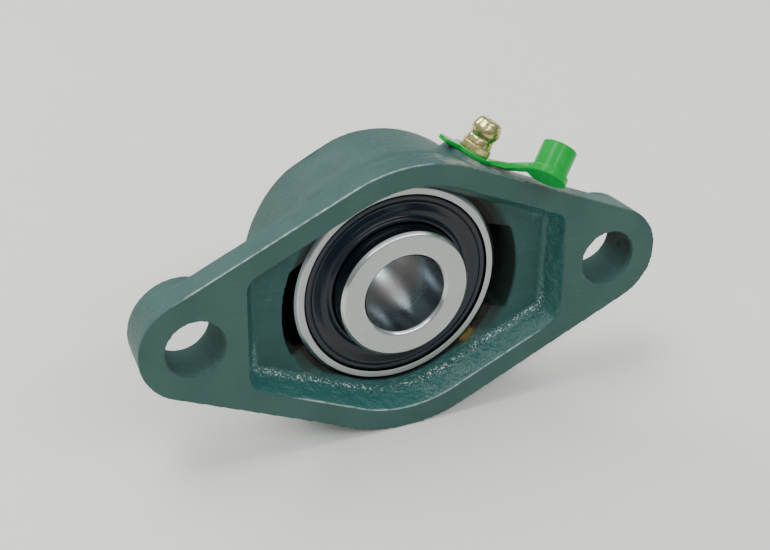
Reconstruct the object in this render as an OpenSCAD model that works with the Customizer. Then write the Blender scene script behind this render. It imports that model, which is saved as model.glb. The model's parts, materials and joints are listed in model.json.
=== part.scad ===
// Two-bolt flange mount bearing: a cast iron rhombus flange unit with a self-aligning
// ball bearing insert, a grease nipple and a tethered nipple cap.
// The bolt line runs along X, the shaft along Y and the grease nipple is on the +Z side.
// The mounting face lies in the plane y = 0 and the hub points along +Y.

/* [Flange] */
// Distance between the two bolt hole centres
bolt_spacing = 90; // [84:1:96]
// Bolt hole diameter
bolt_hole_d = 12; // [10:0.5:14]
// Flange width across its middle
flange_width = 60; // [58:1:64]
// Radius of the round boss at each bolt hole
ear_r = 11.3; // [10.6:0.1:12]
// Thickness of the bosses at the bolt holes
flange_t = 10.5; // [10:0.5:12]
// Thickness of the flange edge between a boss and the hub
edge_t = 6.2; // [6:0.2:8]
// Thickness of the flange inside its sloped edge
web_t = 9; // [8.6:0.2:9.6]
// Casting draft on the outside faces, in degrees
draft = 5; // [2:0.5:6]

/* [Hub] */
// Depth of the housing from mounting face to hub end
housing_depth = 25.5; // [25:0.5:28]
// Mounting face to the centre of the bearing
centre_height = 15; // [14.5:0.5:16]
// Hub diameter where it leaves the flange
hub_root_d = 57.4; // [56:0.2:58]
// Hub diameter at its free end, before the rounded edge
hub_end_d = 53; // [52:0.5:55]

/* [Recess in the mounting face] */
// Width of the flat rim left around the recess
rim_w = 4.7; // [4.2:0.1:5.5]
// Length of the recess along the bolt line
recess_l = 69; // [62:1:70]
// Depth of the recess floor
recess_depth = 4.6; // [3.5:0.1:5]
// Slope of the recess walls, in degrees
recess_slope = 27; // [20:1:32]
// Radius of the round mouth in the recess floor
mouth_r = 25.9; // [25.2:0.1:26.5]
// Width of the two slots that let the insert in sideways
slot_w = 19.2; // [18:0.2:22]

/* [Bearing insert] */
// Shaft bore diameter
bore_d = 17; // [17:1:20]
// Diameter of the spherical outer ring
outer_d = 47; // [46.9:0.05:47]
// Width of the outer ring
outer_w = 16; // [15.8:0.1:16.4]
// Outside diameter of the wide inner ring
inner_d = 28.2; // [27.6:0.2:28.6]
// Width of the inner ring
inner_w = 31; // [29:0.5:33]
// Bearing centre to the short end of the inner ring
short_side = 12.4; // [11.5:0.1:13]
// Ball diameter
ball_d = 7.938; // [7.6:0.002:7.938]
// Diameter of the circle through the ball centres
pitch_d = 33.5; // [33.4:0.05:33.6]

/* [Set screws] */
// Nominal thread diameter
screw_d = 6; // [5:0.5:6]
// Screw length
screw_l = 6; // [5:0.5:6.5]
// Long end of the inner ring to the screw axis
screw_inset = 4.8; // [4:0.1:6]
// Direction of the first screw around the shaft, from +Z towards +X
screw_a = 20; // [0:5:90]
// Angle between the two screws
screw_gap_a = 120; // [60:5:120]

/* [Grease nipple] */
// Lean of the nipple from +Z towards +X
nipple_a = 33; // [30:0.5:36]
// Mounting face to the nipple axis
nipple_y = 8.8; // [8.6:0.1:9.4]
// Shaft axis to the flat seat under the nipple
nipple_seat_r = 30.2; // [30.1:0.05:30.8]
// Hexagon size across its flats
nipple_flats = 6; // [6:0.5:7]
// Diameter of the round head
nipple_head_d = 6.1; // [5.9:0.1:6.4]

/* [Nipple cap] */
// Swing of the cap towards the mounting face, away from the bolt line
cap_swing_a = 50; // [40:1:60]
// Nipple axis to the middle of the cap
cap_reach = 15.3; // [14.5:0.1:17]
// Outside diameter of the cup
cap_d = 7.2; // [6.9:0.1:7.6]
// Height of the cup above its collar
cap_h = 5.5; // [4.5:0.1:6.5]
// Sideways tilt of the cup from the twist in its strap
cap_tilt_a = 22; // [10:1:24]
// Backward tilt of the cup from the rise of its strap
cap_rise_a = 11; // [0:1:14]

/* [Hidden] */
$fn = 96;
eps = 0.01;
far = 90;

// Flange outline: a large middle radius and two ear radii joined by tangent sides.
flange_r = flange_width / 2;
bolt_x = bolt_spacing / 2;
side_a = asin((flange_r - ear_r) / bolt_x);
ear_reach = bolt_x + ear_r * sin(side_a);

// Recess outline, at the mounting face.
recess_r = flange_r - rim_w;
recess_half = recess_l / 2;
recess_corner_r = 3.4;
corner_x = recess_half - recess_corner_r;
corner_z = (recess_r - recess_corner_r - corner_x * sin(side_a)) / cos(side_a);
corner_a = (90 - side_a) / 2;

// Seat and insert.
seat_gap = 0.03;
seat_r = outer_d / 2 + seat_gap;
seat_front = 7.4;
seat_back = 22.6;
seat_front_r = sqrt(seat_r * seat_r - pow(centre_height - seat_front, 2));
ring_front = centre_height - outer_w / 2;
ring_back = centre_height + outer_w / 2;
inner_front = centre_height - short_side;
inner_back = inner_front + inner_w;
inner_r = inner_d / 2;
pitch_r = pitch_d / 2;
ball_r = ball_d / 2;
ball_count = 8;
ball_step = 360 / ball_count;
race_r = 0.52 * ball_d;
race_gap = 0.02;
inner_race_c = pitch_r - ball_r - race_gap + race_r;
outer_race_c = pitch_r + ball_r + race_gap - race_r;
shoulder_r = 19.3;
land_r = 20.2;
seal_groove_r = 20.7;
seal_groove_w = 1;
seal_inset = 1.35;
slinger_r = 19.9;
slinger_t = 0.75;
oil_hole_d = 1.5;
oil_hole_inset = 4.3;

// Cage pressed from sheet, in two halves.
cage_t = 0.7;
cage_in_r = 15;
cage_out_r = 18.4;
pocket_gap = 0.1;
rivet_r = 0.55;
rivet_head_r = 0.9;
rivet_head_h = 0.4;

// Set screws.
screw_y = inner_back - screw_inset;
screw_hole_r = screw_d / 2;
screw_r = screw_hole_r - 0.04;
screw_tip_r = bore_d / 2 + 0.4;

// Nipple, measured along its own axis from the seat on the flange.
shank_r = 2.95;
shank_l = 4.3;
strap_t = 0.9;
ring_play = 0.03;
hex_h = 1.5;
collar_r = 2.9;
waist_r = 2.25;
collar_h = 1.5;
head_h = 3.9;
nipple_bore_r = 1.15;
valve_ball_r = 1.1;
valve_mouth_r = 0.7;
hex_z = strap_t + 2 * ring_play;
collar_z = hex_z + hex_h;
head_z = collar_z + collar_h;
top_z = head_z + head_h;
valve_ball_z = top_z - 1.95;

// ---- helpers ----

// Turns a profile drawn as [radius, distance from the mounting face] into a ring on the shaft axis.
module on_shaft() {
  rotate([-90, 0, 0]) rotate_extrude() children();
}

// Moves to a point on the shaft axis and points +Z outwards, a degrees from +Z towards +X.
module outwards(y, a) {
  translate([0, y, 0]) rotate([0, a, 0]) children();
}

// Everything closer to the shaft axis than a plane that leans inwards as y grows.
module inside_of(a, dist, lean) {
  rotate([0, a, 0])
    translate([0, 0, dist])
      rotate([-lean, 0, 0])
        translate([-far, -far, -2 * far])
          cube([2 * far, 2 * far, 2 * far]);
}

// A cone along the shaft direction that narrows by the given slope.
module tapered(x, z, r, slope, y0, y1) {
  translate([x, y0, z])
    rotate([-90, 0, 0])
      cylinder(h = y1 - y0, r1 = r - y0 * tan(slope), r2 = r - y1 * tan(slope));
}

// ---- housing ----

// The flange without its bosses, from y0 to y1. Its sides slope in from radius r at y = 0.
module plate(r, slope, y0, y1) {
  tapered(0, 0, r, slope, y0, y1);
  intersection() {
    translate([-ear_reach, y0, -far]) cube([2 * ear_reach, y1 - y0, 2 * far]);
    intersection_for(a = [side_a, -side_a, 180 - side_a, 180 + side_a])
      inside_of(a, r, slope);
    intersection_for(a = [0, 180])
      inside_of(a, r * cos(side_a), atan(tan(slope) * cos(side_a)));
  }
}

module flange_plate() {
  edge_slope = 45;
  plate(flange_r, draft, 0, edge_t);
  plate(flange_r + edge_t * (tan(edge_slope) - tan(draft)), edge_slope, edge_t, web_t);
  for (s = [-1, 1])
    tapered(s * bolt_x, 0, ear_r, draft, 0, flange_t);
}

module hub_solid() {
  edge_r = 0.5;
  on_shaft() {
    polygon([
      [0, 1], [hub_root_d / 2, 1], [hub_root_d / 2, web_t],
      [hub_end_d / 2, housing_depth - edge_r], [hub_end_d / 2 - edge_r, housing_depth],
      [0, housing_depth]
    ]);
    translate([hub_end_d / 2 - edge_r, housing_depth - edge_r]) circle(r = edge_r);
  }
}

// The walls of the recess, down to any depth.
module recess_prism(depth) {
  corner_d = recess_corner_r * cos(corner_a);
  corner_lean = atan(tan(recess_slope) * cos(corner_a));
  centre_d = recess_r * cos(side_a);
  centre_lean = atan(tan(recess_slope) * cos(side_a));
  n = [cos(corner_a), sin(corner_a)];
  intersection() {
    translate([-far, -1, -far]) cube([2 * far, depth + 1, 2 * far]);
    intersection_for(a = [side_a, -side_a, 180 - side_a, 180 + side_a])
      inside_of(a, recess_r, recess_slope);
    intersection_for(a = [90, -90])
      inside_of(a, recess_half, recess_slope);
    intersection_for(a = [0, 180])
      inside_of(a, centre_d, centre_lean);
    intersection_for(a = [90 - corner_a, corner_a - 90, 90 + corner_a, -90 - corner_a])
      inside_of(a, corner_x * n[0] + corner_z * n[1] + corner_d, corner_lean);
  }
  tapered(0, 0, recess_r, recess_slope, -1, depth);
  for (sx = [-1, 1], sz = [-1, 1])
    tapered(sx * corner_x, sz * corner_z, recess_corner_r, recess_slope, -1, min(depth, recess_depth + 0.5));
}

// The recess: a flat floor with a round mouth in it that slopes down to the seat.
module recess() {
  floor_top = seat_front + 2;
  difference() {
    recess_prism(seat_front);
    on_shaft() polygon([
      [mouth_r, recess_depth], [far, recess_depth], [far, floor_top],
      [seat_front_r, floor_top], [seat_front_r, seat_front]
    ]);
  }
}

module seat_and_back_opening() {
  back_r = sqrt(seat_r * seat_r - pow(seat_back - centre_height, 2));
  on_shaft() intersection() {
    translate([0, centre_height]) circle(r = seat_r);
    translate([0, 4]) square([far, seat_back - 4]);
  }
  on_shaft() polygon([
    [0, centre_height], [back_r, centre_height], [back_r, housing_depth - 1.2],
    [back_r + 1.2, housing_depth + eps], [0, housing_depth + eps]
  ]);
}

// Two slots that reach the middle of the seat, so the insert can be pushed in edge on.
module loading_slots() {
  slot_r = seat_r + 2;
  intersection() {
    tapered(0, 0, slot_r + 0.4, 1.5, recess_depth - 1, centre_height + 0.5);
    translate([-far, 0, -slot_w / 2]) cube([2 * far, far, slot_w]);
  }
}

module lubrication_groove() {
  groove_front = 8.4;
  groove_back = 12.6;
  on_shaft() translate([seat_r - 2, groove_front]) square([2.8, groove_back - groove_front]);
}

module grease_hole() {
  outwards(nipple_y, nipple_a) {
    translate([0, 0, nipple_seat_r - shank_l - 0.5]) cylinder(h = 20, r = shank_r + 0.03);
    translate([0, 0, 20]) cylinder(h = 10, r = 1.2);
  }
}

module housing() {
  boss_z = 25;
  boss_r = 5.6;
  boss_root_r = 8;
  spot_r = 5.4;
  color("darkslategray") difference() {
    union() {
      flange_plate();
      hub_solid();
      outwards(nipple_y, nipple_a)
        translate([0, 0, boss_z]) cylinder(h = nipple_seat_r - boss_z, r1 = boss_root_r, r2 = boss_r);
    }
    outwards(nipple_y, nipple_a) translate([0, 0, nipple_seat_r]) cylinder(h = 8, r = spot_r);
    recess();
    seat_and_back_opening();
    loading_slots();
    lubrication_groove();
    grease_hole();
    for (s = [-1, 1])
      translate([s * bolt_x, -1, 0]) rotate([-90, 0, 0]) cylinder(h = flange_t + 2, r = bolt_hole_d / 2);
  }
}

// ---- bearing insert ----

module outer_ring() {
  chamfer = 0.55;
  groove_end = seal_inset + seal_groove_w;
  end_r = sqrt(pow(outer_d / 2, 2) - pow(outer_w / 2, 2)) - chamfer;
  color("silver") difference() {
    on_shaft() difference() {
      intersection() {
        translate([0, centre_height]) circle(r = outer_d / 2);
        polygon([
          [shoulder_r, ring_front + groove_end], [seal_groove_r, ring_front + groove_end],
          [seal_groove_r, ring_front + seal_inset], [land_r, ring_front + seal_inset],
          [land_r, ring_front + 0.3], [land_r + 0.3, ring_front], [end_r, ring_front],
          [end_r + 5, ring_front + 3], [end_r + 5, ring_back - 3], [end_r, ring_back],
          [land_r + 0.3, ring_back], [land_r, ring_back - 0.3], [land_r, ring_back - seal_inset],
          [seal_groove_r, ring_back - seal_inset], [seal_groove_r, ring_back - groove_end],
          [shoulder_r, ring_back - groove_end]
        ]);
      }
      translate([outer_race_c, centre_height]) circle(r = race_r);
    }
    for (a = [60, 180])
      outwards(ring_front + oil_hole_inset, a) translate([0, 0, 15]) cylinder(h = 12, r = oil_hole_d / 2);
  }
}

module inner_ring() {
  bore_r = bore_d / 2;
  bore_edge = 0.7;
  rim_edge = 0.8;
  color("gainsboro") difference() {
    on_shaft() difference() {
      polygon([
        [bore_r + bore_edge, inner_front], [inner_r - rim_edge, inner_front],
        [inner_r, inner_front + rim_edge], [inner_r, inner_back - rim_edge],
        [inner_r - rim_edge, inner_back], [bore_r + bore_edge, inner_back],
        [bore_r, inner_back - bore_edge], [bore_r, inner_front + bore_edge]
      ]);
      translate([inner_race_c, centre_height]) circle(r = race_r);
    }
    for (a = [screw_a, screw_a + screw_gap_a])
      outwards(screw_y, a) cylinder(h = 20, r = screw_hole_r);
  }
}

module bearing_ball(i) {
  outwards(centre_height, i * ball_step) translate([0, 0, pitch_r])
    color("whitesmoke") sphere(r = ball_r);
}

module ball_1() { bearing_ball(0); }
module ball_2() { bearing_ball(1); }
module ball_3() { bearing_ball(2); }
module ball_4() { bearing_ball(3); }
module ball_5() { bearing_ball(4); }
module ball_6() { bearing_ball(5); }
module ball_7() { bearing_ball(6); }
module ball_8() { bearing_ball(7); }

// One pressed half of the cage: a flat ring with a spherical pocket for each ball.
module cage_half(dir) {
  shell_r = ball_r + pocket_gap + cage_t;
  difference() {
    intersection() {
      union() {
        on_shaft() translate([cage_in_r - 1, centre_height - cage_t]) square([6, 2 * cage_t]);
        for (i = [0 : ball_count - 1])
          outwards(centre_height, i * ball_step) translate([0, 0, pitch_r]) sphere(r = shell_r);
      }
      on_shaft() translate([cage_in_r, centre_height + (dir < 0 ? -6 : 0)])
        square([cage_out_r - cage_in_r, 6]);
    }
    for (i = [0 : ball_count - 1]) {
      outwards(centre_height, i * ball_step)
        translate([0, 0, pitch_r]) sphere(r = ball_r + pocket_gap);
      outwards(centre_height, (i + 0.5) * ball_step)
        translate([0, 0, pitch_r]) rotate([-90, 0, 0]) cylinder(h = 4, r = rivet_r + 0.02, center = true);
    }
  }
}

module cage_front() { color("lightsteelblue") cage_half(-1); }
module cage_back() { color("lightsteelblue") cage_half(1); }

module cage_rivets() {
  color("silver")
    for (i = [0 : ball_count - 1])
      outwards(centre_height, (i + 0.5) * ball_step) translate([0, 0, pitch_r]) {
        rotate([-90, 0, 0]) cylinder(h = 2 * cage_t, r = rivet_r, center = true);
        for (s = [-1, 1])
          rotate([-90 * s, 0, 0]) translate([0, 0, cage_t])
            cylinder(h = rivet_head_h, r1 = rivet_head_r, r2 = rivet_r);
      }
}

// Rubber-faced seal, drawn for an end at y = 0 with the balls on the +y side.
module seal_profile() {
  rim_r = seal_groove_r - 0.03;
  lip_r = inner_r + 0.03;
  step_r = shoulder_r - 0.3;
  web_r = step_r - 0.5;
  neck_in_r = lip_r + 1.2;
  y0 = seal_inset + 0.05;
  polygon([
    [rim_r, y0], [rim_r, y0 + 0.7], [step_r, y0 + 0.75], [web_r, y0 + 1.05], [neck_in_r, y0 + 1.3],
    [lip_r, y0 + 1.45], [lip_r, y0 + 1.15], [neck_in_r, y0 + 0.75], [web_r, y0 + 0.45],
    [step_r + 0.9, y0]
  ]);
}

// Dished steel slinger that turns with the inner ring and covers the seal.
module slinger_profile() {
  t = slinger_t;
  hub_r = inner_r + 0.6;
  dish_in_r = hub_r + 0.65;
  dish_out_r = dish_in_r + 1.15;
  groove_r = slinger_r - 1.4;
  collar_y = 0;
  rim_y = 0.25;
  dish_y = 0.75;
  groove_y = 0.55;
  polygon([
    [inner_r, collar_y], [hub_r, collar_y], [dish_in_r, dish_y], [dish_out_r, dish_y],
    [groove_r - 0.3, rim_y], [groove_r, rim_y], [groove_r + 0.05, groove_y],
    [groove_r + 0.25, groove_y], [groove_r + 0.3, rim_y], [slinger_r - 0.25, rim_y],
    [slinger_r, rim_y + 0.2], [slinger_r, rim_y + t], [groove_r - 0.1, rim_y + t],
    [dish_out_r + 0.2, dish_y + t], [inner_r, dish_y + t]
  ]);
}

module seal_front() {
  color([0.12, 0.12, 0.13]) on_shaft() translate([0, ring_front]) seal_profile();
}

module seal_back() {
  color([0.12, 0.12, 0.13]) on_shaft() translate([0, ring_back]) scale([1, -1]) seal_profile();
}

module slinger_front() {
  color([0.1, 0.1, 0.12]) on_shaft() translate([0, ring_front]) slinger_profile();
}

module slinger_back() {
  color([0.1, 0.1, 0.12]) on_shaft() translate([0, ring_back]) scale([1, -1]) slinger_profile();
}

// Socket set screw with a cup point.
module set_screw(a) {
  socket_flats = 3;
  socket_depth = 2.4;
  edge = 0.5;
  outwards(screw_y, a) translate([0, 0, screw_tip_r]) difference() {
    rotate_extrude() polygon([
      [0, 0.9], [1.5, 0], [1.8, 0], [screw_r, 1.1], [screw_r, screw_l - edge],
      [screw_r - edge, screw_l], [0, screw_l]
    ]);
    translate([0, 0, screw_l - socket_depth])
      cylinder(h = socket_depth + 1, r = socket_flats / 2 / cos(30), $fn = 6);
  }
}

module set_screw_1() { color("dimgray") set_screw(screw_a); }
module set_screw_2() { color("dimgray") set_screw(screw_a + screw_gap_a); }

// ---- grease nipple ----

// Origin on the flange's nipple seat, +Z along the nipple.
module at_nipple() {
  outwards(nipple_y, nipple_a) translate([0, 0, nipple_seat_r]) children();
}

module grease_nipple() {
  head_r = nipple_head_d / 2;
  color("goldenrod") at_nipple() difference() {
    union() {
      translate([0, 0, hex_z]) intersection() {
        cylinder(h = hex_h, r = nipple_flats / 2 / cos(30), $fn = 6);
        cylinder(h = hex_h, r1 = 4.6, r2 = 3.2);
      }
      rotate_extrude() polygon([
        [0, -shank_l], [shank_r - 0.5, -shank_l], [shank_r, 0.5 - shank_l], [shank_r, hex_z + 0.2],
        [collar_r, collar_z], [waist_r, head_z], [head_r - 0.2, head_z + 0.75],
        [head_r, head_z + 1.2], [head_r, head_z + 2.1], [head_r - 0.3, head_z + 2.9],
        [head_r - 0.7, top_z - 0.4], [1.7, top_z], [0, top_z]
      ]);
    }
    translate([0, 0, 1 - shank_l]) cylinder(h = top_z + shank_l - 2.5, r = nipple_bore_r);
    translate([0, 0, top_z - 1.5 - eps]) cylinder(h = 0.6, r1 = nipple_bore_r, r2 = valve_mouth_r);
    translate([0, 0, top_z - 1]) cylinder(h = 2, r = valve_mouth_r);
    translate([0, 0, -shank_l - 1]) cylinder(h = 3, r = 0.75);
  }
}

module nipple_ball() {
  color("silver") at_nipple() translate([0, 0, valve_ball_z]) sphere(r = valve_ball_r);
}

// Round the nipple's axis, a helix cut from a slice of ring gives wire of about equal width and height.
module nipple_spring() {
  wire_w = 0.32;
  coil_r = 0.88;
  turns = 9;
  slice_a = 50;
  foot_z = 1.05 - shank_l;
  contact_h = sqrt(pow(valve_ball_r, 2) - pow(coil_r - wire_w / 2, 2)) + 0.02;
  length = valve_ball_z - contact_h - foot_z;
  wire_slice = concat(
    [for (a = [-slice_a : slice_a : slice_a]) (coil_r + wire_w / 2) * [cos(a), sin(a)]],
    [for (a = [slice_a : -slice_a : -slice_a]) (coil_r - wire_w / 2) * [cos(a), sin(a)]]
  );
  color("gray") at_nipple() translate([0, 0, foot_z])
    linear_extrude(height = length, twist = -360 * turns, slices = 10 * turns, $fn = 6)
      polygon(wire_slice);
}

// Soft plastic cap, its strap and the ring that is caught under the hexagon, in one moulding.
module grease_cap() {
  ring_r = 4.4;
  ring_hole_r = shank_r + 0.1;
  foot_r = 4.1;
  foot_h = 1.5;
  wall = 0.6;
  strap_w = 3;
  bend = [7.4, 1.1];
  bend_t = 1.4;
  lift = 4;
  tab_l = 8.1;
  root_a = cap_swing_a * 0.72;
  color([0.05, 0.7, 0.2]) at_nipple() translate([0, 0, ring_play]) {
    difference() {
      union() {
        cylinder(h = strap_t, r = ring_r);
        translate([-tab_l, -strap_w / 2, 0]) cube([tab_l - ring_r + 1, strap_w, strap_t]);
      }
      translate([0, 0, -1]) cylinder(h = strap_t + 2, r = ring_hole_r);
    }
    hull() {
      rotate([0, 0, -root_a]) strap_slice(ring_r - 0.9, 0.05, strap_w, strap_t, 0);
      rotate([0, 0, -cap_swing_a]) strap_slice(bend[0], bend[1], strap_w, bend_t, cap_tilt_a / 2);
    }
    rotate([0, 0, -cap_swing_a]) {
      hull() {
        strap_slice(bend[0], bend[1], strap_w, bend_t, cap_tilt_a / 2);
        strap_slice(cap_reach - foot_r + 0.7, lift - 0.2, strap_w, bend_t, cap_tilt_a);
      }
      translate([cap_reach, 0, lift]) rotate([-cap_tilt_a, 0, 0]) rotate([0, -cap_rise_a, 0])
        difference() {
          union() {
            cylinder(h = foot_h, r = foot_r);
            cylinder(h = foot_h + cap_h, r = cap_d / 2);
          }
          translate([0, 0, foot_h]) cylinder(h = cap_h + 1, r = cap_d / 2 - wall);
        }
    }
  }
}

// A thin slice across the strap, x along it and z above the ring, twisted about its own line.
module strap_slice(x, z, w, t, twist_a) {
  translate([x, 0, z + t / 2]) rotate([-twist_a, 0, 0])
    cube([0.1, w, t], center = true);
}

housing();
outer_ring();
inner_ring();
ball_1();
ball_2();
ball_3();
ball_4();
ball_5();
ball_6();
ball_7();
ball_8();
cage_front();
cage_back();
cage_rivets();
seal_front();
seal_back();
slinger_front();
slinger_back();
set_screw_1();
set_screw_2();
grease_nipple();
nipple_ball();
nipple_spring();
grease_cap();
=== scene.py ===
"""Looks of a two-bolt flange mount bearing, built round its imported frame.

The row frame is in metres: X along the bolt line, Y along the shaft away from the mounting face,
and Z towards the grease nipple.
"""
import json
import math

import bpy
import numpy as np
from mathutils import Matrix, Vector


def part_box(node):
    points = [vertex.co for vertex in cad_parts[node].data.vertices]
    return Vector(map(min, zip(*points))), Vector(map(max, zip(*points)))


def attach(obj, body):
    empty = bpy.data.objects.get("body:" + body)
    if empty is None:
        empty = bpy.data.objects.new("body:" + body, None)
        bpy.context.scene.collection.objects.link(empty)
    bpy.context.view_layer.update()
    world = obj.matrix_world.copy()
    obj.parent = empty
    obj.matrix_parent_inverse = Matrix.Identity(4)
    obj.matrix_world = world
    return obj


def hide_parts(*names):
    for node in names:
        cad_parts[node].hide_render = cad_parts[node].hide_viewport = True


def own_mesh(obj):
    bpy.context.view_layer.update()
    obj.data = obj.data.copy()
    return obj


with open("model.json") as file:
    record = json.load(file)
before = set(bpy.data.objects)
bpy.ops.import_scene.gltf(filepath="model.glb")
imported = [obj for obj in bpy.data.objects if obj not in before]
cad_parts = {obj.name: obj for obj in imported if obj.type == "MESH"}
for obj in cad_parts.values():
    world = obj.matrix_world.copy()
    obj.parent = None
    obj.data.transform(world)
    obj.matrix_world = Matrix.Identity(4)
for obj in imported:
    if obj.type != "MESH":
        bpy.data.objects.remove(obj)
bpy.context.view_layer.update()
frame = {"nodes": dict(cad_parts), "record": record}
nodes = frame["nodes"]
joints = {joint["name"]: joint for joint in frame["record"]["behaviour"]["joints"]}
MM = 0.001

# ---- places and sizes that the looks share with the frame, in metres ----

housing_low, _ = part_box("housing")
ring_low, ring_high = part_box("outer_ring")
inner_low, inner_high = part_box("inner_ring")
slinger_low, slinger_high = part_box("slinger_front")
_, back_slinger_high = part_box("slinger_back")
screw_low, screw_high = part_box("set_screw_1")

BEARING_CENTRE = Vector(joints["shaft_spin"]["pos_m"]).y
SCREW_Y = (screw_low.y + screw_high.y) / 2
BOLT_X = 45 * MM
BOLT_R = 6 * MM
EAR_R = 11.3 * MM
FLANGE_R = 30 * MM
SIDE = math.asin((FLANGE_R - EAR_R) / BOLT_X)
RECESS_R = FLANGE_R - 4.7 * MM
RECESS_HALF = 34.5 * MM
RECESS_SLOPE = math.tan(math.radians(27))
RECESS_FLOOR = 4.6 * MM
MOUTH_R = 25.9 * MM
WEB_BACK = 9 * MM
FLOOR_SLOPE = math.radians(8.18)
FLOOR_HALF = 12.0

nipple_axis = Vector(joints["cap_swivel"]["axis"])
nipple_lean = math.atan2(nipple_axis.x, nipple_axis.z)
nipple_seat = Vector(joints["cap_swivel"]["pos_m"]) - 0.5 * MM * nipple_axis
nipple_frame = Matrix.Translation(nipple_seat) @ Matrix.Rotation(nipple_lean, 4, "Y")


def added(name, data):
    """A new object in the scene."""
    made = bpy.data.objects.new(name, data)
    bpy.context.scene.collection.objects.link(made)
    return made


# ---- camera, floor and lights ----

def make_camera():
    camera = added("camera", bpy.data.cameras.new("camera"))
    camera.location = Vector((-122.3, -249.5, 168.7)) * MM
    camera.rotation_euler = [math.radians(a) for a in (59.64, -0.911, -24.446)]
    camera.data.lens = 76.68
    camera.data.clip_start = 10 * MM
    bpy.context.scene.camera = camera


def make_floor():
    """The unit lies on its lower flange edge and on the hub's rim, so the floor is tilted in its frame."""
    gap = 0.02 * MM
    along = Vector((0, math.cos(FLOOR_SLOPE), math.sin(FLOOR_SLOPE)))
    foot = Vector((0, 0, housing_low.z - gap))
    corners = [foot + x * FLOOR_HALF * Vector((1, 0, 0)) + y * FLOOR_HALF * along
               for x, y in ((-1, -1), (1, -1), (1, 1), (-1, 1))]
    mesh = bpy.data.meshes.new("floor")
    mesh.from_pydata(corners, [], [(0, 1, 2, 3)])
    floor = added("floor", mesh)
    return floor


def softbox(name, direction, distance, size, power, colour):
    """A rectangular area light that shines on the unit from a direction in the floor's frame."""
    lamp = bpy.data.lights.new(name, "AREA")
    lamp.shape = "RECTANGLE"
    lamp.size, lamp.size_y = size
    lamp.energy = power
    lamp.color = colour
    light = added(name, lamp)
    away = Matrix.Rotation(FLOOR_SLOPE, 3, "X") @ Vector(direction).normalized()
    light.location = away * distance
    light.rotation_euler = away.to_track_quat("Z", "Y").to_euler()


def make_world():
    """A room that is bright overhead and dim towards its walls."""
    dim, bright = (0.30, 0.31, 0.31), (0.68, 0.72, 0.73)
    bright_from = 0.75
    world = bpy.data.worlds.new("room")
    world.use_nodes = True
    bpy.context.scene.world = world
    tree = world.node_tree
    place = tree.nodes.new("ShaderNodeTexCoord")
    split = tree.nodes.new("ShaderNodeSeparateXYZ")
    ramp = tree.nodes.new("ShaderNodeValToRGB")
    for stop, position, colour in zip(ramp.color_ramp.elements, (0.0, bright_from), (dim, bright)):
        stop.position = position
        stop.color = (*colour, 1)
    background = tree.nodes["Background"]
    tree.links.new(place.outputs["Generated"], split.inputs[0])
    tree.links.new(split.outputs["Z"], ramp.inputs["Fac"])
    tree.links.new(ramp.outputs["Color"], background.inputs["Color"])
    background.inputs["Strength"].default_value = 1.0


make_camera()
floor = make_floor()
make_world()
softbox("ceiling", (-0.28, 0.25, 1), 1.4, (1.0, 0.7), 10.5, (1, 0.985, 0.96))
softbox("window", (-0.26, 0.95, 0.55), 1.6, (0.5, 0.3), 7, (0.93, 0.97, 1))
softbox("tube", (0.15, -0.55, 0.80), 1.3, (1.8, 0.06), 7, (0.96, 0.98, 1))
softbox("lamp", (-0.30, 0.10, 0.95), 1.5, (0.3, 0.3), 3, (1, 0.99, 0.97))


# ---- short calls for node materials ----

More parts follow.
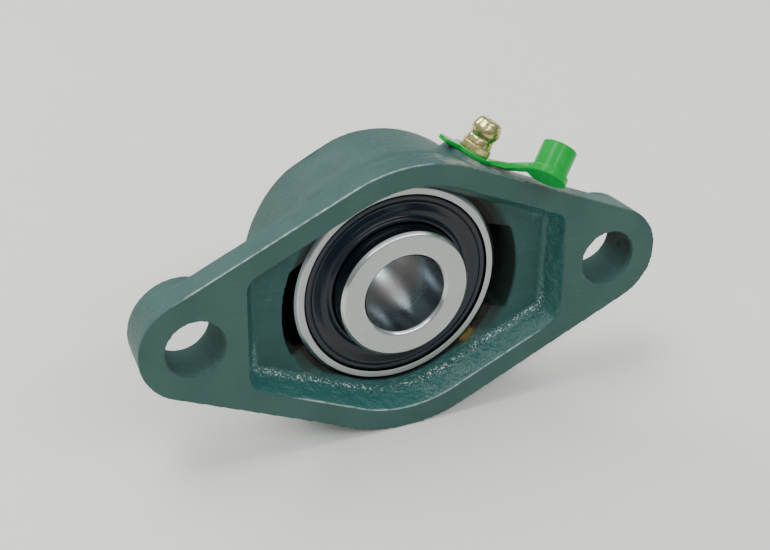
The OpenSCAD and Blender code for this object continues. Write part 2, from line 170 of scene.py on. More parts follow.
class Finish:
    """A material with one Principled shader, and calls that add nodes in front of it."""

    def __init__(self, name, **sockets):
        self.material = bpy.data.materials.new(name)
        self.material.use_nodes = True
        self.tree = self.material.node_tree
        self.shader = self.tree.nodes["Principled BSDF"]
        for socket, value in sockets.items():
            self.shader.inputs[socket.replace("_", " ")].default_value = value
        self.place = self.node("ShaderNodeTexCoord").outputs["Object"]

    def node(self, kind, **settings):
        made = self.tree.nodes.new(kind)
        for name, value in settings.items():
            setattr(made, name, value)
        return made

    def feed(self, socket, value):
        if isinstance(value, bpy.types.NodeSocket):
            self.tree.links.new(value, socket)
        else:
            socket.default_value = value

    def noise(self, size, detail=3.0, roughness=0.55, at=None, stretch=(1, 1, 1), distortion=0.0):
        """Noise from 0 to 1 whose grains are about `size` metres across."""
        place = self.place if at is None else at
        if stretch != (1, 1, 1):
            mapping = self.node("ShaderNodeMapping")
            mapping.inputs["Scale"].default_value = stretch
            self.feed(mapping.inputs["Vector"], place)
            place = mapping.outputs["Vector"]
        made = self.node("ShaderNodeTexNoise")
        self.feed(made.inputs["Vector"], place)
        made.inputs["Scale"].default_value = 1 / size
        made.inputs["Detail"].default_value = detail
        made.inputs["Roughness"].default_value = roughness
        made.inputs["Distortion"].default_value = distortion
        return made.outputs["Fac"]

    def attribute(self, name):
        return self.node("ShaderNodeAttribute", attribute_name=name).outputs["Fac"]

    def math(self, operation, a, b=0.0, clamp=False):
        made = self.node("ShaderNodeMath", operation=operation, use_clamp=clamp)
        for socket, value in zip(made.inputs, (a, b)):
            self.feed(socket, value)
        return made.outputs[0]

    def ramp(self, value, low, high, start=0.0, end=1.0, smooth=True):
        """Turns a value at low into start and one at high into end, with a smooth step between."""
        made = self.node("ShaderNodeMapRange", clamp=True)
        made.interpolation_type = "SMOOTHSTEP" if smooth else "LINEAR"
        for socket, number in zip(("Value", "From Min", "From Max", "To Min", "To Max"),
                                  (value, low, high, start, end)):
            self.feed(made.inputs[socket], number)
        return made.outputs["Result"]

    def mix(self, share, a, b):
        """Colour a where share is 0 and b where it is 1."""
        made = self.node("ShaderNodeMix", data_type="RGBA")
        for index, value in ((0, share), (6, a), (7, b)):
            if isinstance(value, tuple):
                value = (*value, 1)
            self.feed(made.inputs[index], value)
        return made.outputs[2]

    def axis(self, index):
        """One coordinate of the row frame, in metres."""
        split = self.node("ShaderNodeSeparateXYZ")
        self.feed(split.inputs[0], self.place)
        return split.outputs[index]

    def turned(self):
        """Coordinates for turned parts: radius, distance along the shaft, and an angle scaled down."""
        metres_per_radian = 0.4 * MM
        x, y, z = (self.axis(i) for i in range(3))
        squares = self.math("ADD", self.math("POWER", x, 2.0), self.math("POWER", z, 2.0))
        radius = self.math("SQRT", squares)
        angle = self.math("MULTIPLY", self.math("ARCTAN2", x, z), metres_per_radian)
        joined = self.node("ShaderNodeCombineXYZ")
        for socket, value in zip(joined.inputs, (radius, y, angle)):
            self.feed(socket, value)
        return joined.outputs[0]

    def bump(self, *heights):
        """Bump from (height from 0 to 1, depth in metres) pairs."""
        normal = None
        for height, depth in heights:
            made = self.node("ShaderNodeBump")
            made.inputs["Strength"].default_value = 1.0
            made.inputs["Distance"].default_value = depth
            self.feed(made.inputs["Height"], height)
            if normal is not None:
                self.feed(made.inputs["Normal"], normal)
            normal = made.outputs["Normal"]
        self.feed(self.shader.inputs["Normal"], normal)

    def colour(self, value):
        self.feed(self.shader.inputs["Base Color"], value)

    def roughness(self, value):
        self.feed(self.shader.inputs["Roughness"], value)

    def specular(self, value):
        self.feed(self.shader.inputs["Specular IOR Level"], value)


def dress(name, finish):
    """Gives a CAD node or a piece one material."""
    target = nodes[name] if isinstance(name, str) else name
    target.data.materials.clear()
    target.data.materials.append(finish.material)


# ---- materials ----

def casting_paint():
    """Dark grey-green paint: flat on the mounting face, glossy and rough in the cored recess."""
    f = Finish("casting_paint")
    face, hollow, wall, bored = (f.attribute(name) for name in ("face", "hollow", "wall", "bored"))
    broad = f.ramp(f.noise(14 * MM, 2), 0.35, 0.65)
    speck = f.noise(0.9 * MM, 4, 0.7)
    grain = f.noise(0.4 * MM, 2, 0.6)
    tone = f.mix(broad, (0.038, 0.095, 0.084), (0.046, 0.109, 0.097))
    # Painted shade: the cored recess gets a darker green than the face.
    tone = f.mix(hollow, tone, f.mix(broad, (0.013, 0.066, 0.058), (0.019, 0.081, 0.072)))
    tone = f.mix(f.ramp(speck, 0.64, 0.8), tone, (0.075, 0.14, 0.125))
    tone = f.mix(f.ramp(speck, 0.36, 0.22), tone, (0.018, 0.040, 0.035))
    scratch = f.noise(0.25 * MM, 2, stretch=(0.03, 1, 1), distortion=0.3)
    tone = f.mix(f.ramp(scratch, 0.69, 0.74, 0.0, 0.5), tone, (0.16, 0.2, 0.185))
    # Painted light: the lower and right recess walls, which face the light, get a lighter, saturated green.
    tone = f.mix(wall, tone, (0.026, 0.120, 0.109))

    # Painted shade round the insert, rust with painted shade in the bolt holes, and a dab of grease.
    insert_shade_share = f.math("MULTIPLY", f.attribute("insert_shade"), f.ramp(f.noise(3.5 * MM, 3), 0.2, 0.55, 0.75, 1.0))
    tone = f.mix(insert_shade_share, tone, (0.017, 0.014, 0.011))
    corrosion_and_shade_spots = f.ramp(f.noise(1.6 * MM, 3, 0.6), 0.35, 0.70, 0.4, 0.95)
    tone = f.mix(f.math("MULTIPLY", f.attribute("corrosion_and_hole_shade"), corrosion_and_shade_spots), tone, (0.030, 0.024, 0.018))
    grease = f.math("MULTIPLY", f.attribute("grease"), f.ramp(f.noise(1.1 * MM, 4, 0.7), 0.42, 0.52))
    tone = f.mix(grease, tone, (0.16, 0.115, 0.03))

    # Pale lines on the upward-facing arrises, partly chipped paint and partly painted highlight, and a
    # scuffed patch under the cap.
    near_face = f.ramp(f.axis(1), 0.5 * MM, 0.15 * MM)
    outer_line = f.ramp(f.math("ABSOLUTE", f.math("ADD", f.attribute("from_outer"), 0.10)), 0.20, 0.04)
    inner_line = f.ramp(f.math("ABSOLUTE", f.math("SUBTRACT", f.attribute("from_inner"), 0.02)), 0.18, 0.04)
    broken = f.ramp(f.noise(1.6 * MM, 6, 0.8), 0.38, 0.60, 0.25, 0.95)
    lines = f.math("ADD", f.math("MULTIPLY", outer_line, f.attribute("chipped_and_lit_outer")),
                   f.math("MULTIPLY", inner_line, f.attribute("chipped_and_lit_inner")))
    lines = f.math("MULTIPLY", f.math("MULTIPLY", lines, near_face), broken, clamp=True)
    tone = f.mix(lines, tone, (0.42, 0.54, 0.51))
    scuff = f.math("MULTIPLY", f.attribute("scuffed"), f.ramp(f.noise(3.2 * MM, 6, 0.75), 0.40, 0.62))
    tone = f.mix(f.math("MULTIPLY", scuff, 0.7), tone, (0.27, 0.27, 0.255))

    # Painted highlights: pale specks along the foot of the recess walls, where the rough paint would glint.
    painted_highlight_specks = f.ramp(f.noise(0.42 * MM, 3, 0.7), 0.56, 0.59)
    painted_highlight_specks = f.math("MULTIPLY", painted_highlight_specks, f.ramp(f.noise(4 * MM, 2), 0.42, 0.55, 0.35, 1.0))
    painted_highlight_specks = f.math("MULTIPLY", painted_highlight_specks, f.attribute("foot"))
    f.colour(f.mix(painted_highlight_specks, tone, (0.93, 0.98, 0.98)))

    glossy = f.math("MAXIMUM", wall, f.math("MULTIPLY", hollow, 0.25))
    f.specular(f.ramp(glossy, 0.0, 1.0, 0.2, 0.45, False))
    dull = f.math("MAXIMUM", f.math("MULTIPLY", bored, 0.3), f.math("MULTIPLY", insert_shade_share, 0.25))
    gloss = f.math("ADD", f.ramp(glossy, 0.0, 1.0, 0.42, 0.13, False), dull)
    f.roughness(f.math("ADD", gloss, f.ramp(speck, 0.3, 0.7, -0.03, 0.09)))
    rough = f.math("MULTIPLY", f.ramp(hollow, 0.0, 1.0, 1.0, 0.6), f.ramp(face, 0.0, 1.0, 1.0, 0.35))
    f.bump((f.math("MULTIPLY", grain, rough), 0.18 * MM), (f.noise(1.3 * MM, 2), 0.09 * MM),
           (f.math("MULTIPLY", f.noise(0.8 * MM, 2), wall), 0.12 * MM))
    return f


def bearing_steel(name, satin_low, satin_high, rim):
    """Ground steel, satin on its end faces; its walls are darker from rim inwards and brown-grey deeper in,
    as painted shade and reflection.
    """
    f = Finish(name, Metallic=1.0)
    y = f.axis(1)
    lines = f.noise(0.10 * MM, 2, at=f.turned())
    spots = f.noise(0.35 * MM, 3)
    satin = f.math("MAXIMUM", f.ramp(y, satin_low + 0.05 * MM, satin_low + 0.02 * MM),
                   f.ramp(y, satin_high - 0.05 * MM, satin_high - 0.02 * MM))
    bright = f.mix(lines, (0.47, 0.50, 0.495), (0.57, 0.60, 0.595))
    bright = f.mix(f.ramp(f.noise(5 * MM, 3), 0.3, 0.7, 0.0, 0.35), bright, (0.49, 0.50, 0.49))
    inside = f.math("MINIMUM", f.ramp(y, satin_low + rim / 3, satin_low + rim),
                    f.ramp(y, satin_high - rim / 3, satin_high - rim))
    deep = f.math("MINIMUM", f.ramp(y, satin_low + 5 * MM, satin_low + 15 * MM),
                  f.ramp(y, satin_high - 5 * MM, satin_high - 15 * MM))
    # Painted shade and painted reflection: walls darker than the end faces, brown-grey deeper in.
    shaded_wall_tone = f.mix(deep, (0.19, 0.24, 0.265), (0.17, 0.162, 0.155))
    shaded_wall_tone = f.mix(f.ramp(spots, 0.4, 0.7, 0.0, 0.4), shaded_wall_tone, (0.12, 0.115, 0.11))
    f.colour(f.mix(inside, bright, shaded_wall_tone))
    satin_rough = f.ramp(spots, 0.3, 0.7, 0.50, 0.62)
    polished = f.ramp(lines, 0.3, 0.7, 0.16, 0.26)
    difference = f.math("SUBTRACT", satin_rough, polished)
    dull = f.math("MAXIMUM", satin, f.math("MULTIPLY", deep, 0.7))
    f.roughness(f.math("ADD", polished, f.math("MULTIPLY", difference, dull)))
    f.bump((lines, 0.0015 * MM), (spots, 0.002 * MM))
    return f


def polished_steel():
    f = Finish("polished_steel", Metallic=1.0)
    f.colour(f.mix(f.noise(2 * MM, 3), (0.7, 0.7, 0.7), (0.78, 0.78, 0.77)))
    f.roughness(f.ramp(f.noise(1 * MM, 3), 0.3, 0.7, 0.08, 0.16))
    return f


def sheet_steel():
    f = Finish("sheet_steel", Metallic=1.0)
    f.colour(f.mix(f.noise(1.5 * MM, 3), (0.42, 0.42, 0.41), (0.55, 0.54, 0.52)))
    f.roughness(f.ramp(f.noise(0.6 * MM, 3), 0.3, 0.7, 0.25, 0.4))
    return f


def black_sheet():
    """Blue-black lacquered sheet with faint turning lines and a few light scratches."""
    f = Finish("black_sheet", Specular_IOR_Level=0.42)
    lines = f.noise(0.2 * MM, 2, at=f.turned())
    tone = f.mix(f.noise(5 * MM, 3), (0.005, 0.010, 0.018), (0.009, 0.016, 0.027))
    scratch = f.noise(0.22 * MM, 2, stretch=(0.6, 1, 0.05), distortion=0.4)
    f.colour(f.mix(f.ramp(scratch, 0.74, 0.79, 0.0, 0.3), tone, (0.10, 0.11, 0.12)))
    f.roughness(f.ramp(lines, 0.3, 0.7, 0.20, 0.26))
    f.bump((f.noise(0.3 * MM, 2), 0.002 * MM))
    return f


def moulded_rubber():
    f = Finish("moulded_rubber", Specular_IOR_Level=0.4)
    f.colour(f.mix(f.noise(1 * MM, 3), (0.010, 0.010, 0.011), (0.02, 0.02, 0.021)))
    f.roughness(f.ramp(f.noise(0.4 * MM, 3), 0.3, 0.7, 0.5, 0.65))
    f.bump((f.noise(0.2 * MM, 2), 0.01 * MM))
    return f


def black_oxide():
    f = Finish("black_oxide", Metallic=0.8)
    f.colour(f.mix(f.noise(0.7 * MM, 3), (0.03, 0.03, 0.033), (0.07, 0.068, 0.066)))
    f.roughness(f.ramp(f.noise(0.4 * MM, 3), 0.3, 0.7, 0.35, 0.5))
    return f


def yellow_zinc():
    f = Finish("yellow_zinc", Metallic=1.0)
    stain = f.noise(1.4 * MM, 4, 0.65)
    tone = f.mix(f.ramp(stain, 0.35, 0.65), (0.47, 0.42, 0.16), (0.64, 0.59, 0.29))
    pink = f.ramp(f.noise(2.1 * MM, 3), 0.58, 0.72, 0.0, 0.5)
    f.colour(f.mix(pink, tone, (0.56, 0.40, 0.28)))
    f.roughness(f.ramp(f.noise(0.5 * MM, 3), 0.3, 0.7, 0.16, 0.30))
    f.bump((f.noise(0.35 * MM, 3), 0.006 * MM))
    return f


def green_plastic():
    f = Finish("green_plastic", Subsurface_Weight=0.05, Subsurface_Scale=0.6 * MM, Specular_IOR_Level=0.16)
    f.colour(f.mix(f.noise(2.5 * MM, 3), (0.0, 0.31, 0.034), (0.0, 0.40, 0.06)))
    f.roughness(f.ramp(f.noise(1 * MM, 3), 0.3, 0.7, 0.12, 0.2))
    f.bump((f.noise(1.6 * MM, 2), 0.03 * MM))
    return f


def pale_floor():
    f = Finish("pale_floor", Specular_IOR_Level=0.3)
    f.colour(f.mix(f.noise(60 * MM, 3), (0.86, 0.835, 0.785), (0.89, 0.87, 0.825)))
    f.roughness(f.ramp(f.noise(8 * MM, 3), 0.3, 0.7, 0.5, 0.6))
    return f


paint = casting_paint()
outer_steel = bearing_steel("outer_steel", ring_low.y, ring_high.y, 0.3 * MM)
inner_steel = bearing_steel("inner_steel", inner_low.y, inner_high.y, 1.4 * MM)
mirror_steel = polished_steel()
cage_steel = sheet_steel()
slinger_black = black_sheet()
rubber = moulded_rubber()
screw_black = black_oxide()
zinc = yellow_zinc()
plastic = green_plastic()
dress(floor, pale_floor())

for name in nodes:
    if name.startswith("ball_") or name == "nipple_ball":
        dress(name, mirror_steel)
    if name.startswith("cage_") or name == "nipple_spring":
        dress(name, cage_steel)
    if name.startswith("seal_"):
        dress(name, rubber)


# ---- even meshes and noise ----

def hashed(cells, seed):
    """A fixed number from -1 to 1 for each row of whole numbers."""
    mixed = cells[:, 0] * 73856093 ^ cells[:, 1] * 19349663 ^ cells[:, 2] * 83492791 ^ seed * 2654435761
    mixed = (mixed ^ mixed >> 13) * 1274126177 & 0x7FFFFFFF
    mixed = (mixed ^ mixed >> 15) * 2246822519 & 0x7FFFFFFF
    return mixed / 0x3FFFFFFF - 1


def lumps(points, size, seed):
    """Smooth noise from -1 to 1 at each point, with bumps about `size` metres across."""
    place = points / size
    cell = np.floor(place).astype(np.int64)
    part = place - cell
    part = part * part * part * (part * (part * 6 - 15) + 10)
    total = np.zeros(len(points))
    for corner in np.ndindex(2, 2, 2):
        weight = np.where(np.array(corner) == 1, part, 1 - part).prod(axis=1)
        total += weight * hashed(cell + np.array(corner), seed)
    return total


def smooth_step(value, low, high):
    t = np.clip((value - low) / (high - low), 0, 1)
    return t * t * (3 - 2 * t)


def even_mesh(node, name, voxel, smoothing):
    """A copy of a CAD node with an even mesh and slightly rounded edges."""
    piece = added(name, nodes[node].data.copy())
    weld = piece.modifiers.new("weld", "WELD")
    weld.merge_threshold = 0.002 * MM
    remesh = piece.modifiers.new("remesh", "REMESH")
    remesh.mode = "VOXEL"
    remesh.voxel_size = voxel
    smooth = piece.modifiers.new("smooth", "SMOOTH")
    smooth.factor = 0.5
    smooth.iterations = smoothing
    settle(piece)
    piece.data.shade_smooth()
    return piece


def points_of(mesh):
    flat = np.zeros(len(mesh.vertices) * 3, np.float32)
    mesh.vertices.foreach_get("co", flat)
    return flat.reshape(-1, 3).astype(float)


def normals_of(mesh):
    flat = np.zeros(len(mesh.vertices) * 3, np.float32)
    mesh.vertex_normals.foreach_get("vector", flat)
    return flat.reshape(-1, 3).astype(float)


def spread(mesh, values, rounds):
    """The values after each has been averaged with its neighbours' a number of times."""
    edges = np.zeros(len(mesh.edges) * 2, np.int64)
    mesh.edges.foreach_get("vertices", edges)
    a, b = edges.reshape(-1, 2).T
    count = np.bincount(a, minlength=len(values)) + np.bincount(b, minlength=len(values))
    for _ in range(rounds):
        total = np.bincount(a, values[b], len(values)) + np.bincount(b, values[a], len(values))
        values = (values + total / np.maximum(count, 1)) / 2
    return values


def keep_values(mesh, name, values):
    """Stores one number for each vertex, for the materials to read by name."""
    attribute = mesh.attributes.new(name, "FLOAT", "POINT")
    attribute.data.foreach_set("value", values.astype(np.float32))


# ---- turned and cut pieces ----

def rounded(profile, radius):
    """A closed profile with each corner replaced by a short curve of about the given radius."""
    curve = []
    for before, corner, after in zip(profile[-1:] + profile[:-1], profile, profile[1:] + profile[:1]):
        before, corner, after = (np.array(p, float) for p in (before, corner, after))
        start = corner + (before - corner) * min(radius / np.linalg.norm(before - corner), 0.45)
        end = corner + (after - corner) * min(radius / np.linalg.norm(after - corner), 0.45)
        for t in (0, 0.25, 0.5, 0.75, 1):
            curve.append((1 - t) ** 2 * start + 2 * t * (1 - t) * corner + t * t * end)
    return [tuple(p) for p in curve]


def arc(centre, radius, start, end, steps):
    """Points round a centre from one angle to another, in degrees."""
    angles = [math.radians(start + (end - start) * i / steps) for i in range(steps + 1)]
    return [(centre[0] + radius * math.cos(a), centre[1] + radius * math.sin(a)) for a in angles]


def solid(name, vertices, faces):
    mesh = bpy.data.meshes.new(name)
    mesh.from_pydata(vertices, [], faces)
    mesh.validate()
    return added(name, mesh)


def turned_piece(name, profile, place, steps, cut=None):
    """A closed profile of (radius, height) turned round the local Z axis.

    cut(radius, height, angle) may give a new radius, such as for a thread.
    """
    vertices = []
    for i in range(steps):
        angle = 2 * math.pi * i / steps
        for radius, height in profile:
            if cut is not None:
                radius = cut(radius, height, angle)
            vertices.append(place @ Vector((radius * math.cos(angle), radius * math.sin(angle), height)))
    count = len(profile)
    faces = [(i * count + j, i * count + (j + 1) % count,
              (i + 1) % steps * count + (j + 1) % count, (i + 1) % steps * count + j)
             for i in range(steps) for j in range(count)]
    area = sum(a[0] * b[1] - b[0] * a[1] for a, b in zip(profile, profile[1:] + profile[:1]))
    if area > 0:
        faces = [face[::-1] for face in faces]
    piece = solid(name, vertices, faces)
    smooth_by_angle(piece.data, 40)
    return piece


def smooth_by_angle(mesh, degrees):
    mesh.shade_smooth()
    mesh.set_sharp_from_angle(angle=math.radians(degrees))


def prism(name, flats, low, high, place, chamfer=0.0):
    """A hexagonal prism round the local Z axis, its upper corners turned off by a chamfer."""
    corner = flats / 2 / math.cos(math.radians(30))
    rings = [(corner, low), (corner, high - chamfer * 0.8)]
    if chamfer:
        rings.append((corner - chamfer, high))
    vertices = [place @ Vector((r * math.cos(math.radians(60 * i)), r * math.sin(math.radians(60 * i)), h))
                for r, h in rings for i in range(6)]
    last = len(rings) - 1
    faces = [tuple(range(5, -1, -1)), tuple(range(6 * last, 6 * last + 6))]
    faces += [(6 * k + i, 6 * k + (i + 1) % 6, 6 * k + 6 + (i + 1) % 6, 6 * k + 6 + i)
              for k in range(last) for i in range(6)]
    return solid(name, vertices, faces)


def bevel(piece, width):
    made = piece.modifiers.new("bevel", "BEVEL")
    made.width = width
    made.segments = 1
    made.limit_method = "ANGLE"
    settle(piece)


def settle(piece):
    """Applies a piece's modifiers to its mesh."""
    depsgraph = bpy.context.evaluated_depsgraph_get()
    final = bpy.data.meshes.new_from_object(piece.evaluated_get(depsgraph))
    piece.modifiers.clear()
    piece.data = final


def combine(piece, tool, operation):
    """Joins the tool to the piece, or cuts it out of it, and removes the tool."""
    made = piece.modifiers.new("combine", "BOOLEAN")
    made.operation = operation
    made.solver = "EXACT"
    made.object = tool
    settle(piece)
    bpy.data.objects.remove(tool)
    smooth_by_angle(piece.data, 25)


def stand_for(piece, node, body, finish):
    """Hands a piece over: which CAD node it replaces, what it rides on and its finish."""
    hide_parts(node)
    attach(piece, body)
    dress(piece, finish)


def at_height(y, forward=1):
    """A frame on the shaft axis at distance y from the mounting face, its Z along +Y or -Y."""
    return Matrix.Translation((0, y, 0)) @ Matrix.Rotation(math.radians(-90 * forward), 4, "X")


def screw_frame(screw):
    """A frame on the shaft axis, level with the set screws, its Z along one screw's axis."""
    axis = Vector(joints[screw + "_travel"]["axis"])
    return Matrix.Translation((0, SCREW_Y, 0)) @ axis.to_track_quat("Z", "Y").to_matrix().to_4x4()


def make_outer_ring():
    sphere_r, half = 23.5 * MM, (ring_high.y - ring_low.y) / 2
    land_r, groove_r, shoulder_r = 20.2 * MM, 20.7 * MM, 19.3 * MM
    inset, groove_w, race_r, race_c = 1.35 * MM, 1 * MM, 4.13 * MM, 16.61 * MM
    edge_r = math.sqrt(sphere_r ** 2 - half ** 2) - 0.55 * MM
    lean = math.degrees(math.asin((half - 0.45 * MM) / sphere_r))
    race_a = math.degrees(math.acos((shoulder_r - race_c) / race_r))
    side = [(shoulder_r, half - inset - groove_w), (groove_r, half - inset - groove_w),
            (groove_r, half - inset), (land_r, half - inset), (land_r, half)]
    profile = rounded(side + [(edge_r, half)], 0.12 * MM)
    profile += arc((0, 0), sphere_r, lean, -lean, 40)
    profile += rounded([(edge_r, -half)] + [(r, -h) for r, h in reversed(side)], 0.12 * MM)
    profile += arc((race_c, 0), race_r, -race_a, race_a, 20)
    ring = turned_piece("outer_race", profile, at_height(BEARING_CENTRE), 256)
    stand_for(ring, "outer_ring", "insert", outer_steel)


def make_inner_ring():
    outer_r, bore_r = inner_high.x, 8.5 * MM
    rim, mouth, race_r, race_c = 0.8 * MM, 0.7 * MM, 4.13 * MM, 16.89 * MM
    low, high = inner_low.y - BEARING_CENTRE, inner_high.y - BEARING_CENTRE
    race_a = math.degrees(math.acos((race_c - outer_r) / race_r))
    front = [(outer_r, low + rim), (outer_r - rim, low), (bore_r + mouth, low), (bore_r, low + mouth)]
    back = [(bore_r, high - mouth), (bore_r + mouth, high), (outer_r - rim, high), (outer_r, high - rim)]
    profile = rounded(front, 0.25 * MM) + rounded(back, 0.25 * MM)
    profile += arc((race_c, 0), race_r, 180 - race_a, 180 + race_a, 20)
    ring = turned_piece("inner_race", profile, at_height(BEARING_CENTRE), 256)

    tip_r, drill_r, mouth_r = 0.01 * MM, 3 * MM, 3.25 * MM
    drill_low, drill_high = 2 * MM, 20 * MM
    drill = [(tip_r, drill_low), (drill_r, drill_low), (drill_r, 13.8 * MM), (mouth_r, 14.3 * MM),
             (mouth_r, drill_high), (tip_r, drill_high)]
    for screw in ("set_screw_1", "set_screw_2"):
        combine(ring, turned_piece("drill", drill, screw_frame(screw), 64), "DIFFERENCE")
    stand_for(ring, "inner_ring", "shaft_ring", inner_steel)


def make_slinger(node, name, front_y, forward):
    hub_r, edge_r, t = inner_high.x + 0.01 * MM, slinger_high.x, 0.75 * MM
    rim, dish, groove = 0.25 * MM, 0.75 * MM, 0.55 * MM
    groove_r, dish_r = edge_r - 1.4 * MM, hub_r + 1.25 * MM
    profile = [(hub_r, 0), (hub_r + 0.6 * MM, 0), (dish_r, dish), (dish_r + 1.15 * MM, dish),
               (groove_r - 0.3 * MM, rim), (groove_r, rim), (groove_r + 0.05 * MM, groove),
               (groove_r + 0.25 * MM, groove), (groove_r + 0.3 * MM, rim), (edge_r - 0.25 * MM, rim),
               (edge_r, rim + 0.2 * MM), (edge_r, rim + t), (groove_r - 0.1 * MM, rim + t),
               (dish_r + 1.35 * MM, dish + t), (hub_r, dish + t)]
    piece = turned_piece(name, rounded(profile, 0.3 * MM), at_height(front_y, forward), 256)
    stand_for(piece, node, "shaft_ring", slinger_black)


def make_set_screw(node, name):
    tip, length, crest, pitch, depth = 8.9 * MM, 6 * MM, 2.95 * MM, 1 * MM, 0.42 * MM
    middle_r, cup_r, cup_depth, edge = 0.02 * MM, 1.5 * MM, 0.9 * MM, 0.05 * MM
    ends = [(middle_r, tip + cup_depth), (cup_r, tip + edge), (cup_r + 0.3 * MM, tip + edge)]
    wall = [(crest, tip + pitch + i * pitch / 10) for i in range(46)]
    top = [(crest - 0.45 * MM, tip + length), (middle_r, tip + length)]

    def thread(radius, height, angle):
        wave = abs((height / pitch - angle / (2 * math.pi)) % 1 - 0.5) * 2
        on_wall = radius > crest - 0.1 * MM
        return radius - depth * wave if on_wall else radius

    place = screw_frame(node)
    screw = turned_piece(name, ends + wall + top, place, 96, thread)
    socket = prism("socket", 3 * MM, tip + length - 2.4 * MM, tip + length + 1 * MM, place)
    combine(screw, socket, "DIFFERENCE")
    stand_for(screw, node, node, screw_black)


def make_nipple():
    hex_low, hex_high, waist, top = 0.96 * MM, 2.46 * MM, 3.96 * MM, 7.86 * MM
    bore, mouth, foot = 1.15 * MM, 0.7 * MM, -4.3 * MM
    shank_r, neck_r, head_r = 2.95 * MM, 2.55 * MM, 3.05 * MM
    body = [(mouth, foot), (shank_r - 0.5 * MM, foot), (shank_r, foot + 0.5 * MM), (shank_r, 0),
            (2.8 * MM, hex_low), (2.8 * MM, hex_high), (2.88 * MM, hex_high + 0.15 * MM),
            (2.72 * MM, waist - 0.35 * MM), (neck_r, waist), (2.7 * MM, waist + 0.35 * MM),
            (2.93 * MM, waist + 0.9 * MM), (head_r, waist + 1.45 * MM), (3.02 * MM, waist + 2.0 * MM)]
    ridges = []
    for i in range(4):
        height = waist + (2.3 + 0.32 * i) * MM
        ridges += [((2.93 - 0.13 * i) * MM, height), ((2.88 - 0.13 * i) * MM, height + 0.12 * MM)]
    nose = [(2.32 * MM, top - 0.25 * MM), (1.75 * MM, top), (mouth + 0.15 * MM, top),
            (mouth, top - 0.15 * MM), (mouth, top - 1.05 * MM), (bore, top - 1.5 * MM),
            (bore, foot + 1 * MM), (mouth, foot + 1 * MM)]
    nipple = turned_piece("grease_fitting", rounded(body + ridges + nose, 0.16 * MM), nipple_frame, 128)
    spanner = prism("spanner_hex", 6 * MM, hex_low, hex_high, nipple_frame, 0.16 * MM)
    bevel(spanner, 0.05 * MM)
    combine(nipple, spanner, "UNION")
    stand_for(nipple, "grease_nipple", "housing_unit", zinc)


def make_spring():
    """The valve spring keeps its CAD shape."""
    spring = added("valve_spring", nodes["nipple_spring"].data.copy())
    heights = (points_of(spring.data) - np.array(nipple_seat)) @ np.array(nipple_axis)
    stand_for(spring, "nipple_spring", "housing_unit", cage_steel)
    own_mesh(spring)


def make_cap():
    """The moulding keeps its CAD shape, with the rounded edges and fillets that soft plastic has."""
    cap = even_mesh("grease_cap", "nipple_cap", 0.11 * MM, 7)
    stand_for(cap, "grease_cap", "grease_cap", plastic)


# ---- the casting ----

def within(value, low, high, soft):
    """1 between low and high, falling to 0 over the soft width outside them."""
    return smooth_step(value, low - soft, low) * smooth_step(-value, -high - soft, -high)


def outline_distance(x, z, middle_r, end_r):
    """Distance outwards from a rhombus outline with a round middle and round ends."""
    side = np.abs(x) * math.sin(SIDE) + np.abs(z) * math.cos(SIDE)
    round_middle = np.abs(x) < middle_r * math.sin(SIDE)
    round_end = np.abs(x) > BOLT_X + end_r * math.sin(SIDE)
    distance = np.where(round_middle, np.hypot(x, z), side) - middle_r
    return np.where(round_end, np.hypot(np.abs(x) - BOLT_X, z) - end_r, distance)


def recess_distance(x, z):
    """Distance outwards from the recess outline in the mounting face."""
    distance = outline_distance(x, z, RECESS_R, EAR_R)
    return np.maximum(distance, np.abs(x) - RECESS_HALF)


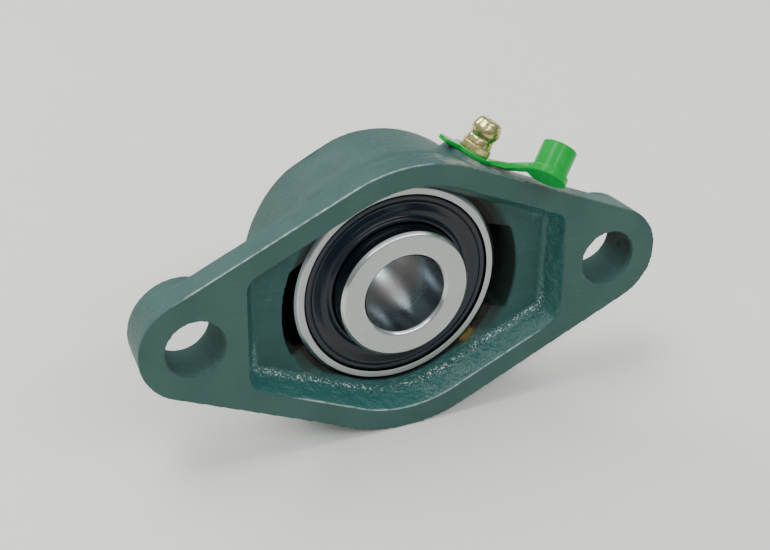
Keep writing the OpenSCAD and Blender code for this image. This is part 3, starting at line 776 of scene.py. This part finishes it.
def make_casting():
    voxel = 0.32 * MM
    piece = even_mesh("housing", "casting", voxel, 3)
    mesh = piece.data
    points, normals = points_of(mesh), normals_of(mesh)
    x, y, z = points.T
    radius = np.hypot(x, z)
    turn = np.degrees(np.arctan2(z, x))

    # Regions of the casting, each from 0 to 1.
    face = smooth_step(-normals[:, 1], 0.8, 0.97) * smooth_step(-y, -0.8 * MM, -0.3 * MM)
    bored = smooth_step(-np.hypot(np.abs(x) - BOLT_X, z), -BOLT_R - 0.7 * MM, -BOLT_R - 0.3 * MM)
    seat = smooth_step(-radius, -24.4 * MM, -23.9 * MM) * smooth_step(y, 6.2 * MM, 7 * MM)
    from_outer = outline_distance(x, z, FLANGE_R, EAR_R)
    from_inner = recess_distance(x, z)
    hollow = smooth_step(-from_inner, -0.3 * MM, 0.1 * MM) * within(y, 0.3 * MM, 7.4 * MM, 0.3 * MM)
    hollow *= (1 - seat) * (1 - bored)
    mouth = smooth_step(-radius, -MOUTH_R - 0.9 * MM, -MOUTH_R + 0.4 * MM)
    mouth *= smooth_step(y, 4.5 * MM, 5.6 * MM)
    skin = spread(mesh, (1 - face) * (1 - bored) * (1 - seat), 2)
    hub = smooth_step(radius, 25.5 * MM, 26.5 * MM) * smooth_step(y, WEB_BACK, WEB_BACK + 5 * MM)
    wall = hollow * smooth_step(-np.abs(from_inner + RECESS_SLOPE * y), -1.3 * MM, -0.5 * MM)
    lower = smooth_step(-z, 2 * MM, 10 * MM)
    pitted = np.maximum(lower, smooth_step(x, 24 * MM, 30 * MM))

    # Sand-cast skin in millimetres: fine and coarse lumps, rougher in the recess, and a slightly
    # uneven hub with one shallow dip in its side.
    dip_turn, dip_width, dip_depth = 116, 9, 0.65
    lift = skin * (lumps(points, 1.1 * MM, 1) * 0.02 + lumps(points, 2.4 * MM, 2) * 0.03)
    lift += hollow * (lumps(points, 0.9 * MM, 6) * 0.035 + lumps(points, 2.2 * MM, 7) * 0.05)
    wall_lumps = lumps(points, 0.8 * MM, 8) * 0.08 + lumps(points, 3.1 * MM, 9) * 0.12
    lift += wall * (0.4 + 0.6 * pitted) * wall_lumps
    lift += skin * hub * (lumps(points, 6 * MM, 3) * 0.08 + lumps(points, 15 * MM, 4) * 0.12)
    lift -= skin * hub * dip_depth * np.exp(-((turn - dip_turn) / dip_width) ** 2)
    lift += face * lumps(points, 9 * MM, 5) * 0.015
    points += normals * (lift * MM)[:, None]
    mesh.vertices.foreach_set("co", points.astype(np.float32).ravel())
    mesh.update()

    # Pale arris lines, partly chipped paint and partly painted highlight: top outer arris and lower recess
    # arris; and the scuffed edge under the cap.
    top = smooth_step(z, 6 * MM, 12 * MM)
    chipped_and_lit_outer = top * (0.15 + 0.85 * within(x, -44 * MM, 0, 5 * MM))
    chipped_and_lit_inner = smooth_step(-z, 6 * MM, 12 * MM) * within(x, -22 * MM, 27 * MM, 5 * MM)
    scuffed = top * (1 - face) * within(x, 8 * MM, 32 * MM, 6 * MM) * within(y, 0.2 * MM, 4.5 * MM, 2 * MM)
    scuffed *= smooth_step(from_outer, -1.5 * MM, -0.5 * MM)

    # Painted highlight specks at the foot of the recess walls, rust with painted shade in the bolt holes, a
    # dab of grease, and painted shade round the insert.
    painted_highlight_width = 0.7 * MM
    from_foot = np.hypot(from_inner + RECESS_SLOPE * RECESS_FLOOR, y - RECESS_FLOOR)
    # Painted highlight: where the pale specks that stand in for glints are drawn.
    foot = hollow * lower * smooth_step(x, -33 * MM, -31 * MM) * np.exp(-(from_foot / painted_highlight_width) ** 2)
    hole = bored * smooth_step(y, 0.4 * MM, 1.4 * MM)
    # Darker towards the top and outer side of each bolt hole: rust, partly painted shade.
    corrosion_and_hole_shade = hole * smooth_step(z + 0.4 * (np.abs(x) - BOLT_X), -4 * MM, 3 * MM)
    dab_place, dab_shape = np.array((15.6, 6.8, -14.9)) * MM, np.array((2.6, 2.0, 2.6))
    dab = np.linalg.norm((points - dab_place) / dab_shape, axis=1)
    # Painted shade: near-black in the mouth round the insert, strongest towards its top, and on the outer
    # ring's seat.
    mouth_shade = 0.8 * mouth * smooth_step(z, -21 * MM, -8 * MM)
    seat_shade = 0.8 * seat * smooth_step(-radius, -26 * MM, -24 * MM)

    kept = {
        "face": face,
        "hollow": hollow * (1 - mouth),
        "from_outer": from_outer / MM,
        "from_inner": from_inner / MM,
        "chipped_and_lit_outer": chipped_and_lit_outer,
        "chipped_and_lit_inner": chipped_and_lit_inner,
        "scuffed": scuffed,
        "grease": smooth_step(-dab, -1.15 * MM, -0.6 * MM),
        "wall": wall * np.maximum(lower, 0.7 * pitted),
        "bored": hole,
        "corrosion_and_hole_shade": corrosion_and_hole_shade,
        "foot": foot,
        "insert_shade": np.clip(mouth_shade + seat_shade, 0, 1),
    }
    for name, values in kept.items():
        keep_values(mesh, name, values)
    stand_for(piece, "housing", "housing_unit", paint)


make_casting()
make_outer_ring()
make_inner_ring()
make_slinger("slinger_front", "front_slinger", slinger_low.y, 1)
make_slinger("slinger_back", "back_slinger", back_slinger_high.y, -1)
make_set_screw("set_screw_1", "socket_screw_1")
make_set_screw("set_screw_2", "socket_screw_2")
make_nipple()
make_spring()
make_cap()
